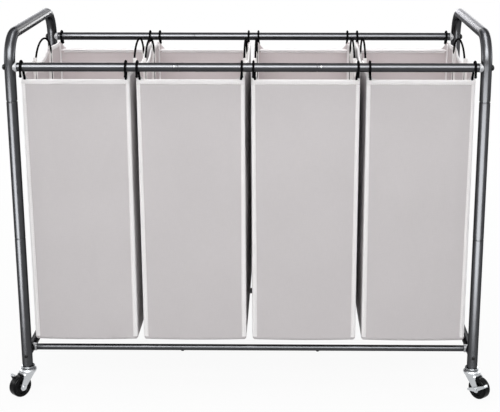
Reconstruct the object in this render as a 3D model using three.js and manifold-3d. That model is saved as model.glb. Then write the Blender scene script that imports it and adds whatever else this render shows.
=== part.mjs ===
// Laundry sorter on wheels: a tube frame with two push handles, four hanging bags and four swivel casters.
// Millimetres, +Z up. The origin is on the floor under the middle of the frame; -Y is the front.
import * as THREE from 'three';
import { mergeVertices } from 'three/addons/utils/BufferGeometryUtils.js';
import Module from 'manifold-3d';

const wasm = await Module();
wasm.setup();

// Clearances
const SEAT_GAP = 0.3; // between pieces that seat on each other
const RUN_GAP = 0.3; // round a pin that turns
const LIFT_GAP = 0.6; // between a rail and a hem that is lifted past it

// Frame
const LEG_SPACING_X = 850; // between leg axes, left to right
const LEG_SPACING_Y = 380; // between leg axes, front to back
const LEG_RADIUS = 10;
const TUBE_WALL = 1;
const LEG_FOOT_HEIGHT = 57;
const LOWER_SEAM_HEIGHT = 313;
const HANDLE_HEIGHT = 689; // axis of the push handle's top stretch
const HANDLE_BEND_RADIUS = 52;
const PLUG_LENGTH = 35; // swaged end that slides into the next tube
const PLUG_COLLAR = 2; // length of the swage's shoulder inside its own tube

// Top rails, which carry the bags
const RAIL_BELOW_BEND = 3; // rail's axis below the start of the handle's bend
const SEAM_BELOW_RAIL = 62;
const TOP_RAIL_RADIUS = 8;
const TOP_RAIL_SEAM = 124; // from the middle of the frame to each joint in the rail
const SADDLE_RADIUS = 8.6;
const SADDLE_WALL = 2.5; // between the tube and the end of the rail
const SADDLE_WRAP = 6; // how far the saddle reaches round the tube

// Bottom rails
const SIDE_RAIL_HEIGHT = 78;
const SIDE_RAIL_RADIUS = 8;
const LONG_RAIL_RADIUS = 6;
const LONG_RAIL_SETBACK = 38; // from the legs' axes towards the middle
const LONG_SADDLE_RADIUS = 7.6;
const LONG_SADDLE_WRAP = 4.5;
const LONG_SADDLE_WALL = 3;
const RAIL_SCREW_RADIUS = 2.5; // screw hole through a saddle into its rail

// Bags
const BAG_COUNT = 4;
const BAG_SPACING = 12.5; // between neighbouring bags
const BAG_HEIGHT = 504;
const RIM_BELOW_RAIL = 24; // top of the hem below the rail's axis
const BAG_CORNER_RADIUS = 6;
const CLOTH = 2;
const HEM_SHEATH = 1.5; // cloth round the hem wire
const HEM_SETBACK = 13; // from the bag's side to the end of the hem

// Hem wires and their hooks
const WIRE_RADIUS = 1.6;
const HOOK_INSET = 8; // from the bag's side to the hem wire's bend
const RISER_LEAN = 4; // how far the rising wire leans outward on its way up to the hook
const HOOK_DROP = 18; // free end below the rail's axis
const HOOK_TIP_RADIUS = 2.6;
const WIRE_BEND_RADIUS = 4.5;

// Carrying handles of the bags
const GRIP_RADIUS = 1.9;
const GRIP_SPAN = 145;
const GRIP_FOOT_RISE = 6; // where the arch starts, above the bag's rim
const GRIP_ARCH_RISE = 40; // from there to the top of the arch
const GRIP_TAIL = 48; // length of each leg inside the bag, below the rim

// Casters
const CASTER_SPLAY = 40; // degrees that each caster points outward from front or back
const TRAIL = 20; // from the swivel axis to the axle
const WHEEL_RADIUS = 21;
const WHEEL_FACETS = 20;
const WHEEL_HALF_WIDTH = 8.75;
const HUB_PROUD = 0.45; // hub boss beyond the tyre's side
const HUB_RADIUS = 5.5;
const WEB_RADIUS = 13;
const WEB_RECESS = 2.5;
const TREAD_SHOULDER = 1.8;
const AXLE_RADIUS = 2;
const RIVET_RADIUS = 4;
const RIVET_HEIGHT = 1.2;
const CHEEK = 1.8; // thickness of the fork's side plates
const CHEEK_TIP_RADIUS = 6;
const CROWN_RADIUS = 16.5;
const CROWN_PLATE = 2;
const CROWN_LIP = 5.5;
const KINGPIN_RADIUS = 3.5;
const KINGPIN_HEAD_RADIUS = 6;
const KINGPIN_HEAD = 1.4;
const FLANGE_RADIUS = 13.4;
const FLANGE = 4;
const STEM_LENGTH = 22;

// Brake levers on the front casters
const LEVER = 1.5;
const LEVER_WIDTH = 4.6; // at the ends of its arms
const LEVER_ROOT_WIDTH = 9.4; // where the arms leave the boss
const LEVER_BOSS_RADIUS = 5;
const TOE_LENGTH = 27; // from the axle to the pad over the tread
const TOE_ANGLE = 30; // degrees above level with the brake off
const HEEL_LENGTH = 19;
const HEEL_ANGLE = 197;
const BRAKE_TRAVEL = 37; // degrees between off and on
const PAD_CLEARANCE = 3; // between tread and pad
const PAD_REACH = 10; // inward over the tread

// Facets round each kind of piece
const TUBE_SIDES = 12;
const WIRE_SIDES = 6;
const PIN_SIDES = 10;
const TURNED_SIDES = 16;
const COPE_SIDES = 24;
const BEND_STEPS = 5;

// Derived places
const HALF_X = LEG_SPACING_X / 2;
const HALF_Y = LEG_SPACING_Y / 2;
const BORE_RADIUS = LEG_RADIUS - TUBE_WALL;
const TOP_RAIL_HEIGHT = HANDLE_HEIGHT - HANDLE_BEND_RADIUS - RAIL_BELOW_BEND;
const UPPER_SEAM_HEIGHT = TOP_RAIL_HEIGHT - SEAM_BELOW_RAIL;
const HOOK_RADIUS = (TOP_RAIL_RADIUS + SEAT_GAP + WIRE_RADIUS) / Math.cos(Math.PI / (2 * BEND_STEPS));
const BAG_PITCH = (LEG_SPACING_X - 2 * LEG_RADIUS) / BAG_COUNT;
const BAG_WIDTH = BAG_PITCH - BAG_SPACING;
const BAG_RIM_HEIGHT = TOP_RAIL_HEIGHT - RIM_BELOW_RAIL;
const BAG_BOTTOM_HEIGHT = BAG_RIM_HEIGHT - BAG_HEIGHT;
const HEM_RADIUS = WIRE_RADIUS + SEAT_GAP + HEM_SHEATH;
const HEM_HEIGHT = BAG_RIM_HEIGHT - HEM_RADIUS;
const HEM_Y = HALF_Y - TOP_RAIL_RADIUS - LIFT_GAP - HEM_RADIUS;
const AXLE_HEIGHT = WHEEL_RADIUS * Math.cos(Math.PI / WHEEL_FACETS);
const FLANGE_TOP = LEG_FOOT_HEIGHT - SEAT_GAP;
const CROWN_TOP = FLANGE_TOP - FLANGE - RUN_GAP;
const CHEEK_INNER = WHEEL_HALF_WIDTH + HUB_PROUD + RUN_GAP;
const CHEEK_OUTER = CHEEK_INNER + CHEEK;
const LEVER_INNER = CHEEK_OUTER + RUN_GAP;
const LEVER_OUTER = LEVER_INNER + LEVER;

const GUNMETAL = { color: 0x6b6c70, roughness: 0.32, metalness: 0.75 };
const ZINC = { color: 0xc9ccd0, roughness: 0.28, metalness: 0.95 };
const BLACK_WIRE = { color: 0x17181a, roughness: 0.4, metalness: 0.2 };
const BLACK_RUBBER = { color: 0x151515, roughness: 0.7, metalness: 0 };
const GREY_PLASTIC = { color: 0xb9bbbe, roughness: 0.5, metalness: 0 };
const CANVAS = { color: 0xc7c3c2, roughness: 0.95, metalness: 0 };

const degrees = THREE.MathUtils.degToRad;

// Solids and geometries

function toSolid(geometry) {
  const bare = geometry.clone();
  for (const name of Object.keys(bare.attributes)) {
    if (name !== 'position') bare.deleteAttribute(name);
  }
  const merged = mergeVertices(bare, 1e-4);
  const mesh = new wasm.Mesh({
    numProp: 3,
    vertProperties: Float32Array.from(merged.attributes.position.array),
    triVerts: Uint32Array.from(merged.index.array),
  });
  return new wasm.Manifold(mesh);
}

function toGeometry(solid) {
  const mesh = solid.getMesh();
  const geometry = new THREE.BufferGeometry();
  geometry.setAttribute('position', new THREE.Float32BufferAttribute(mesh.vertProperties, 3));
  geometry.setIndex(Array.from(mesh.triVerts));
  const faceted = geometry.toNonIndexed();
  faceted.computeVertexNormals();
  return faceted;
}

function join(...geometries) {
  return toGeometry(geometries.map(toSolid).reduce((whole, next) => whole.add(next)));
}

function cut(geometry, ...tools) {
  return toGeometry(tools.map(toSolid).reduce((whole, tool) => whole.subtract(tool), toSolid(geometry)));
}

// A closed profile of [radius, height] points turned about the Z axis.
function turned(points, sides) {
  const profile = points.map(([radius, height]) => new THREE.Vector2(radius, height));
  const geometry = new THREE.LatheGeometry(profile, sides, Math.PI / sides);
  return geometry.rotateX(Math.PI / 2);
}

function rod(radius, length, sides) {
  return new THREE.CylinderGeometry(radius, radius, length, sides, 1, false, Math.PI / sides);
}

function rodAlongX(radius, from, to, sides) {
  return rod(radius, to - from, sides).rotateZ(Math.PI / 2).translate((from + to) / 2, 0, 0);
}

function rodAlongY(radius, from, to, sides) {
  return rod(radius, to - from, sides).translate(0, (from + to) / 2, 0);
}

function rodAlongZ(radius, from, to, sides) {
  return rod(radius, to - from, sides).rotateX(Math.PI / 2).translate(0, 0, (from + to) / 2);
}

function block(xRange, yRange, zRange) {
  const size = [xRange, yRange, zRange].map(([low, high]) => high - low);
  const middle = [xRange, yRange, zRange].map(([low, high]) => (low + high) / 2);
  return new THREE.BoxGeometry(...size).translate(...middle);
}

// A line through given stations, which an extruded section follows with one ring at each station.
class StationPath extends THREE.Curve {
  constructor(stations) {
    super();
    this.stations = stations;
  }

  get steps() {
    return this.stations.length - 1;
  }

  getPoint(t) {
    const place = t * this.steps;
    const index = Math.min(Math.floor(place), this.steps - 1);
    return this.stations[index].clone().lerp(this.stations[index + 1], place - index);
  }

  getPointAt(u) {
    return this.getPoint(u);
  }

  getTangentAt(u) {
    const index = Math.round(u * this.steps);
    const before = this.stations[Math.max(index - 1, 0)];
    const here = this.stations[index];
    const after = this.stations[Math.min(index + 1, this.steps)];
    const arriving = here.clone().sub(before).normalize();
    const leaving = after.clone().sub(here).normalize();
    return arriving.add(leaving).normalize();
  }
}

// Corners joined by straight stretches, with each inner corner rounded to the bend radius.
function roundedStations(corners, bendRadius, steps) {
  const stations = [corners[0]];
  for (let i = 1; i < corners.length - 1; i += 1) {
    const incoming = corners[i].clone().sub(corners[i - 1]).normalize();
    const outgoing = corners[i + 1].clone().sub(corners[i]).normalize();
    const turn = incoming.angleTo(outgoing);
    const start = corners[i].clone().addScaledVector(incoming, -bendRadius * Math.tan(turn / 2));
    const inward = outgoing.clone().addScaledVector(incoming, -outgoing.dot(incoming)).normalize();
    for (let k = 0; k <= steps; k += 1) {
      const angle = (turn * k) / steps;
      const station = start.clone().addScaledVector(incoming, bendRadius * Math.sin(angle));
      stations.push(station.addScaledVector(inward, bendRadius * (1 - Math.cos(angle))));
    }
  }
  stations.push(corners[corners.length - 1]);
  return stations;
}

function circleShape(radius, sides) {
  const shape = new THREE.Shape();
  for (let i = 0; i < sides; i += 1) {
    const angle = ((i + 0.5) * 2 * Math.PI) / sides;
    const draw = i === 0 ? 'moveTo' : 'lineTo';
    shape[draw](radius * Math.cos(angle), radius * Math.sin(angle));
  }
  shape.closePath();
  return shape;
}

function swept(shape, stations) {
  const extrudePath = new StationPath(stations);
  return new THREE.ExtrudeGeometry(shape, { steps: extrudePath.steps, extrudePath, bevelEnabled: false });
}

// Frame tubes

// The swaged end of a tube, on the Z axis: it plugs into the next tube below the seam.
function plugProfile(seam) {
  const radius = BORE_RADIUS - SEAT_GAP;
  const bore = radius - TUBE_WALL;
  const shoulder = BORE_RADIUS + TUBE_WALL / 2;
  return [
    [bore, seam - PLUG_LENGTH],
    [radius, seam - PLUG_LENGTH],
    [radius, seam],
    [shoulder, seam],
    [shoulder, seam + PLUG_COLLAR],
    [bore, seam + PLUG_COLLAR],
    [bore, seam - PLUG_LENGTH],
  ];
}

function tubeProfile(radius, wall, from, to) {
  return [
    [radius - wall, from],
    [radius, from],
    [radius, to],
    [radius - wall, to],
    [radius - wall, from],
  ];
}

function pushHandle() {
  const seam = UPPER_SEAM_HEIGHT + SEAT_GAP / 2;
  const corners = [
    new THREE.Vector3(0, -HALF_Y, seam),
    new THREE.Vector3(0, -HALF_Y, HANDLE_HEIGHT),
    new THREE.Vector3(0, HALF_Y, HANDLE_HEIGHT),
    new THREE.Vector3(0, HALF_Y, seam),
  ];
  const section = circleShape(LEG_RADIUS, TUBE_SIDES);
  section.holes.push(circleShape(BORE_RADIUS, TUBE_SIDES));
  const hoop = swept(section, roundedStations(corners, HANDLE_BEND_RADIUS, BEND_STEPS));
  const plug = turned(plugProfile(seam), TUBE_SIDES);
  const frontPlug = plug.clone().translate(0, -HALF_Y, 0);
  const backPlug = plug.clone().translate(0, HALF_Y, 0);
  return join(hoop, frontPlug, backPlug);
}

function upperLeg() {
  const seam = LOWER_SEAM_HEIGHT + SEAT_GAP / 2;
  const top = UPPER_SEAM_HEIGHT - SEAT_GAP / 2;
  const plugRadius = BORE_RADIUS - SEAT_GAP;
  const profile = [
    [plugRadius - TUBE_WALL, seam - PLUG_LENGTH],
    [plugRadius, seam - PLUG_LENGTH],
    [plugRadius, seam],
    [LEG_RADIUS, seam],
    [LEG_RADIUS, top],
    [BORE_RADIUS, top],
    [BORE_RADIUS, seam + PLUG_COLLAR],
    [plugRadius - TUBE_WALL, seam + PLUG_COLLAR],
    [plugRadius - TUBE_WALL, seam - PLUG_LENGTH],
  ];
  return turned(profile, TUBE_SIDES);
}

function lowerLeg() {
  const top = LOWER_SEAM_HEIGHT - SEAT_GAP / 2;
  return turned(tubeProfile(LEG_RADIUS, TUBE_WALL, LEG_FOOT_HEIGHT, top), TUBE_SIDES);
}

// A rail tube on the X axis.
function railTube(radius, from, to) {
  return turned(tubeProfile(radius, TUBE_WALL, from, to), TUBE_SIDES).rotateY(Math.PI / 2);
}

function endRail() {
  const inner = TOP_RAIL_SEAM + SEAT_GAP / 2;
  const outer = HALF_X - LEG_RADIUS - SADDLE_WALL - SEAT_GAP;
  return railTube(TOP_RAIL_RADIUS, inner, outer);
}

function middleRail() {
  const end = TOP_RAIL_SEAM - SEAT_GAP / 2;
  const plugRadius = TOP_RAIL_RADIUS - TUBE_WALL - SEAT_GAP;
  const plugEnd = end + PLUG_LENGTH;
  const profile = [
    [plugRadius - TUBE_WALL, -plugEnd],
    [plugRadius, -plugEnd],
    [plugRadius, -end],
    [TOP_RAIL_RADIUS, -end],
    [TOP_RAIL_RADIUS, end],
    [plugRadius, end],
    [plugRadius, plugEnd],
    [plugRadius - TUBE_WALL, plugEnd],
    [plugRadius - TUBE_WALL, -plugEnd],
  ];
  return turned(profile, TUBE_SIDES).rotateY(Math.PI / 2);
}

// A spacer between an upright and the end of a rail, hollowed to fit the upright, for the +X end.
function legSaddle() {
  const flat = HALF_X - LEG_RADIUS - SADDLE_WALL;
  const horn = HALF_X - LEG_RADIUS + SADDLE_WRAP;
  const body = rodAlongX(SADDLE_RADIUS, flat, horn, TUBE_SIDES);
  const tube = rodAlongZ(LEG_RADIUS + SEAT_GAP, -LEG_RADIUS, LEG_RADIUS, COPE_SIDES).translate(HALF_X, 0, 0);
  const screwHole = rodAlongX(RAIL_SCREW_RADIUS, flat - 1, horn, PIN_SIDES);
  return cut(body, tube, screwHole);
}

// Runs front to back between two legs, with ends coped to their round.
function sideRail() {
  const tube = railTube(SIDE_RAIL_RADIUS, -HALF_Y, HALF_Y).rotateZ(Math.PI / 2);
  const copes = [-HALF_Y, HALF_Y].map((y) => {
    const leg = rodAlongZ(LEG_RADIUS + SEAT_GAP, -LEG_RADIUS, LEG_RADIUS, COPE_SIDES);
    return leg.translate(0, y, 0);
  });
  return cut(tube, ...copes);
}

// Runs left to right between the side rails; each end carries a saddle that fits a side rail.
function longRail() {
  const saddleFlat = HALF_X - SIDE_RAIL_RADIUS - LONG_SADDLE_WALL;
  const horn = HALF_X - SIDE_RAIL_RADIUS + LONG_SADDLE_WRAP;
  const railEnd = saddleFlat + LONG_SADDLE_WALL / 2;
  const pieces = [railTube(LONG_RAIL_RADIUS, -railEnd, railEnd)];
  for (const side of [-1, 1]) {
    const ends = [side * saddleFlat, side * horn].sort((a, b) => a - b);
    const saddle = rodAlongX(LONG_SADDLE_RADIUS, ends[0], ends[1], TUBE_SIDES);
    const sideTube = rodAlongY(SIDE_RAIL_RADIUS + SEAT_GAP, -LEG_RADIUS, LEG_RADIUS, COPE_SIDES);
    pieces.push(cut(saddle, sideTube.translate(side * HALF_X, 0, 0)));
  }
  return cut(join(...pieces), rodAlongX(RAIL_SCREW_RADIUS, -HALF_X, HALF_X, PIN_SIDES));
}

// Bags

function roundedRectangle(width, depth, radius) {
  const shape = new THREE.Shape();
  const x = width / 2 - radius;
  const y = depth / 2 - radius;
  shape.absarc(x, y, radius, 0, Math.PI / 2, false);
  shape.absarc(-x, y, radius, Math.PI / 2, Math.PI, false);
  shape.absarc(-x, -y, radius, Math.PI, 1.5 * Math.PI, false);
  shape.absarc(x, -y, radius, 1.5 * Math.PI, 2 * Math.PI, false);
  return shape;
}

function prism(shape, from, to) {
  const options = { depth: to - from, bevelEnabled: false, curveSegments: 3 };
  return new THREE.ExtrudeGeometry(shape, options).translate(0, 0, from);
}

// An open cloth box with a sleeve along its front and back rim for the hem wires.
function bag() {
  const depth = 2 * HEM_Y + CLOTH;
  const outer = prism(roundedRectangle(BAG_WIDTH, depth, BAG_CORNER_RADIUS), BAG_BOTTOM_HEIGHT, BAG_RIM_HEIGHT);
  const innerShape = roundedRectangle(BAG_WIDTH - 2 * CLOTH, depth - 2 * CLOTH, BAG_CORNER_RADIUS - CLOTH);
  const inner = prism(innerShape, BAG_BOTTOM_HEIGHT + CLOTH, BAG_RIM_HEIGHT + CLOTH);
  const wallTop = HEM_HEIGHT - WIRE_RADIUS - 2 * SEAT_GAP;
  const notchHalf = BAG_WIDTH / 2 - CLOTH * 1.5;
  const notches = [-HEM_Y, HEM_Y].map((y) => {
    const reach = BAG_CORNER_RADIUS;
    return block([-notchHalf, notchHalf], [y - reach, y + reach], [wallTop, BAG_RIM_HEIGHT + CLOTH]);
  });
  const sleeveEnd = BAG_WIDTH / 2 - HEM_SETBACK;
  const sleeves = [-HEM_Y, HEM_Y].map((y) => {
    return rodAlongX(HEM_RADIUS, -sleeveEnd, sleeveEnd, PIN_SIDES).translate(0, y, HEM_HEIGHT);
  });
  const bores = [-HEM_Y, HEM_Y].map((y) => {
    const end = sleeveEnd + CLOTH;
    return rodAlongX(WIRE_RADIUS + SEAT_GAP, -end, end, PIN_SIDES).translate(0, y, HEM_HEIGHT);
  });
  const shell = cut(outer, inner, ...notches);
  return cut(join(shell, ...sleeves), ...bores);
}

// One hook of the front wire at hookX, from its free end over the rail to the wire behind it.
function hookStations(hookX) {
  const rail = new THREE.Vector3(hookX, -HALF_Y, TOP_RAIL_HEIGHT);
  const stations = [new THREE.Vector3(0, -HOOK_RADIUS, -HOOK_DROP).add(rail)];
  for (let k = 0; k <= BEND_STEPS; k += 1) {
    const angle = Math.PI * (1 - k / BEND_STEPS);
    const over = new THREE.Vector3(0, HOOK_RADIUS * Math.cos(angle), HOOK_RADIUS * Math.sin(angle));
    stations.push(over.add(rail));
  }
  return stations;
}

// The hem's straight stretch is shorter than the reach between the two hooks, so each riser leans outward.
function hemWire() {
  const riserX = BAG_WIDTH / 2 - HOOK_INSET;
  const leftHook = hookStations(-riserX - RISER_LEAN);
  const rightHook = hookStations(riserX + RISER_LEAN).reverse();
  const corners = [
    leftHook[leftHook.length - 1],
    new THREE.Vector3(-riserX, -HEM_Y, HEM_HEIGHT),
    new THREE.Vector3(riserX, -HEM_Y, HEM_HEIGHT),
    rightHook[0],
  ];
  const hem = roundedStations(corners, WIRE_BEND_RADIUS, 2);
  const stations = [...leftHook.slice(0, -1), ...hem, ...rightHook.slice(1)];
  const wire = swept(circleShape(WIRE_RADIUS, WIRE_SIDES), stations);
  const tips = [leftHook[0], rightHook[rightHook.length - 1]].map((end) => {
    return new THREE.SphereGeometry(HOOK_TIP_RADIUS, WIRE_SIDES, 4).translate(end.x, end.y, end.z);
  });
  return join(wire, ...tips);
}

// A stiff arch whose two legs run down inside the bag's side.
function bagHandle() {
  const half = GRIP_SPAN / 2;
  const spring = BAG_RIM_HEIGHT + GRIP_FOOT_RISE;
  const foot = BAG_RIM_HEIGHT - GRIP_TAIL;
  const stations = [new THREE.Vector3(0, -half, foot)];
  const steps = 2 * BEND_STEPS;
  for (let k = 0; k <= steps; k += 1) {
    const angle = Math.PI * (1 - k / steps);
    const y = half * Math.cos(angle);
    stations.push(new THREE.Vector3(0, y, spring + GRIP_ARCH_RISE * Math.sin(angle)));
  }
  stations.push(new THREE.Vector3(0, half, foot));
  return swept(circleShape(GRIP_RADIUS, WIRE_SIDES), stations);
}

// Casters, built with the swivel axis on Z and the wheel trailing towards +X

function wheel() {
  const side = WHEEL_HALF_WIDTH;
  const hub = side + HUB_PROUD;
  const web = side - WEB_RECESS;
  const half = [
    [AXLE_RADIUS + RUN_GAP, hub],
    [HUB_RADIUS, hub],
    [HUB_RADIUS + 1, web],
    [WEB_RADIUS, web],
    [WEB_RADIUS + 1, side],
    [WHEEL_RADIUS - TREAD_SHOULDER, side],
    [WHEEL_RADIUS, side - TREAD_SHOULDER * 1.5],
  ];
  const mirrored = half.map(([radius, y]) => [radius, -y]).reverse();
  const profile = [...half, ...mirrored, half[0]];
  const points = profile.map(([radius, y]) => new THREE.Vector2(radius, y)).reverse();
  const turn = new THREE.LatheGeometry(points, WHEEL_FACETS, Math.PI / WHEEL_FACETS);
  return turn.translate(TRAIL, 0, AXLE_HEIGHT);
}

// Plug, flange, kingpin and riveted-over head, turned as one piece and fixed in the leg.
function casterStem() {
  const stemRadius = BORE_RADIUS - SEAT_GAP;
  const headTop = CROWN_TOP - CROWN_PLATE - RUN_GAP;
  const profile = [
    [0, headTop - KINGPIN_HEAD],
    [KINGPIN_HEAD_RADIUS, headTop - KINGPIN_HEAD / 2],
    [KINGPIN_HEAD_RADIUS, headTop],
    [KINGPIN_RADIUS, headTop],
    [KINGPIN_RADIUS, FLANGE_TOP - FLANGE],
    [FLANGE_RADIUS, FLANGE_TOP - FLANGE],
    [FLANGE_RADIUS, FLANGE_TOP],
    [stemRadius, FLANGE_TOP],
    [stemRadius, FLANGE_TOP + STEM_LENGTH - TUBE_WALL],
    [stemRadius - TUBE_WALL, FLANGE_TOP + STEM_LENGTH],
    [0, FLANGE_TOP + STEM_LENGTH],
  ];
  return turned(profile, TURNED_SIDES);
}

// The pressed crown of the fork, with its rim turned down.
function crown() {
  const lipInner = CROWN_RADIUS - CROWN_PLATE * 0.75;
  const shoulder = CROWN_RADIUS - 2 * CROWN_PLATE;
  const profile = [
    [KINGPIN_RADIUS + RUN_GAP, CROWN_TOP - CROWN_PLATE],
    [shoulder, CROWN_TOP - CROWN_PLATE],
    [lipInner, CROWN_TOP - CROWN_PLATE * 1.6],
    [lipInner, CROWN_TOP - CROWN_LIP],
    [CROWN_RADIUS, CROWN_TOP - CROWN_LIP],
    [CROWN_RADIUS, CROWN_TOP - CROWN_PLATE],
    [shoulder, CROWN_TOP],
    [KINGPIN_RADIUS + RUN_GAP, CROWN_TOP],
    [KINGPIN_RADIUS + RUN_GAP, CROWN_TOP - CROWN_PLATE],
  ];
  return turned(profile, TURNED_SIDES);
}

// Angle, about the axle, at which a straight edge from a point touches the cheek's round tip.
function tangentAngle(x, z, sign) {
  const distance = Math.hypot(x - TRAIL, z - AXLE_HEIGHT);
  return Math.atan2(z - AXLE_HEIGHT, x - TRAIL) + sign * Math.acos(CHEEK_TIP_RADIUS / distance);
}

// One side plate of the fork: broad under the crown and tapering to a round tip at the axle.
function cheek(inner, outer) {
  const top = CROWN_TOP - CROWN_PLATE * 0.65;
  const shoulderZ = CROWN_TOP - CROWN_LIP;
  const reach = Math.sqrt(CROWN_RADIUS ** 2 - CHEEK_OUTER ** 2);
  const leadingX = -reach;
  const trailingX = reach;
  const shape = new THREE.Shape();
  shape.moveTo(leadingX * 0.75, top);
  shape.lineTo(trailingX * 0.75, top);
  shape.lineTo(trailingX, shoulderZ);
  const from = tangentAngle(trailingX, shoulderZ, -1);
  const to = tangentAngle(leadingX, shoulderZ, 1) - 2 * Math.PI;
  shape.absarc(TRAIL, AXLE_HEIGHT, CHEEK_TIP_RADIUS, from, to, true);
  shape.lineTo(leadingX, shoulderZ);
  const options = { depth: outer - inner, bevelEnabled: false, curveSegments: 5 };
  // The shape lies in the XZ plane, so its extrusion runs towards -Y.
  return new THREE.ExtrudeGeometry(shape, options).rotateX(Math.PI / 2).translate(0, outer, 0);
}

function rivetHead(y, outward) {
  const ends = [y, y + outward * RIVET_HEIGHT].sort((a, b) => a - b);
  return rodAlongY(RIVET_RADIUS, ends[0], ends[1], PIN_SIDES);
}

// Crown, two cheeks and the riveted axle. With a brake, the axle runs on to hold the lever.
function fork(hasBrake) {
  const brakeEnd = hasBrake ? LEVER_OUTER + RUN_GAP : CHEEK_OUTER;
  const axle = [
    rodAlongY(AXLE_RADIUS, -brakeEnd - RIVET_HEIGHT / 2, CHEEK_OUTER + RIVET_HEIGHT / 2, PIN_SIDES),
    rivetHead(CHEEK_OUTER, 1),
    rivetHead(-brakeEnd, -1),
  ].map((piece) => piece.translate(TRAIL, 0, AXLE_HEIGHT));
  const cheeks = [cheek(CHEEK_INNER, CHEEK_OUTER), cheek(-CHEEK_OUTER, -CHEEK_INNER)];
  return join(crown(), ...cheeks, ...axle);
}

// A flat arm from the axle, at an angle above level, that tapers to a round end.
function leverArm(length, angle) {
  const shape = new THREE.Shape();
  const half = LEVER_WIDTH / 2;
  shape.moveTo(0, -LEVER_ROOT_WIDTH / 2);
  shape.lineTo(length - half, -half);
  shape.absarc(length - half, 0, half, -Math.PI / 2, Math.PI / 2, false);
  shape.lineTo(0, LEVER_ROOT_WIDTH / 2);
  const options = { depth: LEVER, bevelEnabled: false, curveSegments: 4 };
  const arm = new THREE.ExtrudeGeometry(shape, options).rotateX(Math.PI / 2);
  return arm.rotateY(-degrees(angle)).translate(0, -LEVER_INNER, 0);
}

// A bent steel lever that turns about the axle, with a pad folded in over the tread.
function brakeLever(startAngle) {
  const toe = leverArm(TOE_LENGTH, TOE_ANGLE + startAngle);
  const heel = leverArm(HEEL_LENGTH, HEEL_ANGLE + startAngle);
  const boss = rodAlongY(LEVER_BOSS_RADIUS, -LEVER_OUTER, -LEVER_INNER, PIN_SIDES);
  const padInner = WHEEL_RADIUS + PAD_CLEARANCE;
  const half = LEVER_WIDTH / 2;
  const pad = block([padInner, padInner + LEVER], [-LEVER_OUTER, -LEVER_OUTER + PAD_REACH], [-half, half]);
  pad.rotateY(-degrees(TOE_ANGLE + startAngle));
  const hole = rodAlongY(AXLE_RADIUS + RUN_GAP, -LEVER_OUTER - LEVER, -LEVER_INNER + LEVER, PIN_SIDES);
  return cut(join(boss, toe, heel, pad), hole).translate(TRAIL, 0, AXLE_HEIGHT);
}

// Assembly

const sorter = new THREE.Group();

function add(name, geometry, finish, place = (object) => object) {
  const mesh = new THREE.Mesh(geometry, new THREE.MeshStandardMaterial(finish));
  mesh.name = name;
  place(mesh);
  sorter.add(mesh);
}

const SIDES_X = { left: -1, right: 1 };
const SIDES_Y = { front: -1, back: 1 };

for (const [sideName, x] of Object.entries(SIDES_X)) {
  add(`push_handle_${sideName}`, pushHandle(), GUNMETAL, (mesh) => mesh.position.setX(x * HALF_X));
  add(`side_rail_${sideName}`, sideRail(), GUNMETAL, (mesh) => {
    mesh.position.set(x * HALF_X, 0, SIDE_RAIL_HEIGHT);
  });
}

for (const [endName, y] of Object.entries(SIDES_Y)) {
  add(`top_rail_${endName}_middle`, middleRail(), GUNMETAL, (mesh) => {
    mesh.position.set(0, y * HALF_Y, TOP_RAIL_HEIGHT);
  });
  add(`bottom_rail_${endName}`, longRail(), GUNMETAL, (mesh) => {
    mesh.position.set(0, y * (HALF_Y - LONG_RAIL_SETBACK), SIDE_RAIL_HEIGHT);
  });
  for (const [sideName, x] of Object.entries(SIDES_X)) {
    const corner = `${endName}_${sideName}`;
    const faceSide = (mesh) => {
      mesh.position.set(0, y * HALF_Y, TOP_RAIL_HEIGHT);
      mesh.rotation.z = x < 0 ? Math.PI : 0;
    };
    const atLeg = (mesh) => mesh.position.set(x * HALF_X, y * HALF_Y, 0);
    add(`top_rail_${corner}`, endRail(), GUNMETAL, faceSide);
    add(`rail_saddle_${corner}`, legSaddle(), GREY_PLASTIC, faceSide);
    add(`upper_leg_${corner}`, upperLeg(), GUNMETAL, atLeg);
    add(`lower_leg_${corner}`, lowerLeg(), GUNMETAL, atLeg);

    const splay = degrees(CASTER_SPLAY);
    const heading = Math.atan2(y * Math.cos(splay), x * Math.sin(splay));
    const asCaster = (mesh) => {
      atLeg(mesh);
      mesh.rotation.z = heading;
    };
    const hasBrake = endName === 'front';
    add(`caster_stem_${corner}`, casterStem(), ZINC, atLeg);
    add(`caster_fork_${corner}`, fork(hasBrake), ZINC, asCaster);
    add(`caster_wheel_${corner}`, wheel(), BLACK_RUBBER, asCaster);
    if (hasBrake) {
      const startAngle = x < 0 ? BRAKE_TRAVEL : 0;
      add(`brake_lever_${corner}`, brakeLever(startAngle), ZINC, asCaster);
    }
  }
}

for (let i = 0; i < BAG_COUNT; i += 1) {
  const name = `bag_${i + 1}`;
  const middle = (i - (BAG_COUNT - 1) / 2) * BAG_PITCH;
  const atBag = (mesh) => mesh.position.setX(middle);
  add(name, bag(), CANVAS, atBag);
  add(`${name}_hem_wire_front`, hemWire(), BLACK_WIRE, atBag);
  add(`${name}_hem_wire_back`, hemWire(), BLACK_WIRE, (mesh) => {
    atBag(mesh);
    mesh.rotation.z = Math.PI;
  });
  const gripX = BAG_WIDTH / 2 - CLOTH - SEAT_GAP - GRIP_RADIUS;
  for (const [sideName, x] of Object.entries(SIDES_X)) {
    add(`${name}_handle_${sideName}`, bagHandle(), BLACK_WIRE, (mesh) => {
      mesh.position.setX(middle + x * gripX);
    });
  }
}

export default sorter;
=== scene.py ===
import math
import random
from collections import namedtuple

import bmesh
import bpy
from mathutils import Matrix, Vector, noise


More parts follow.
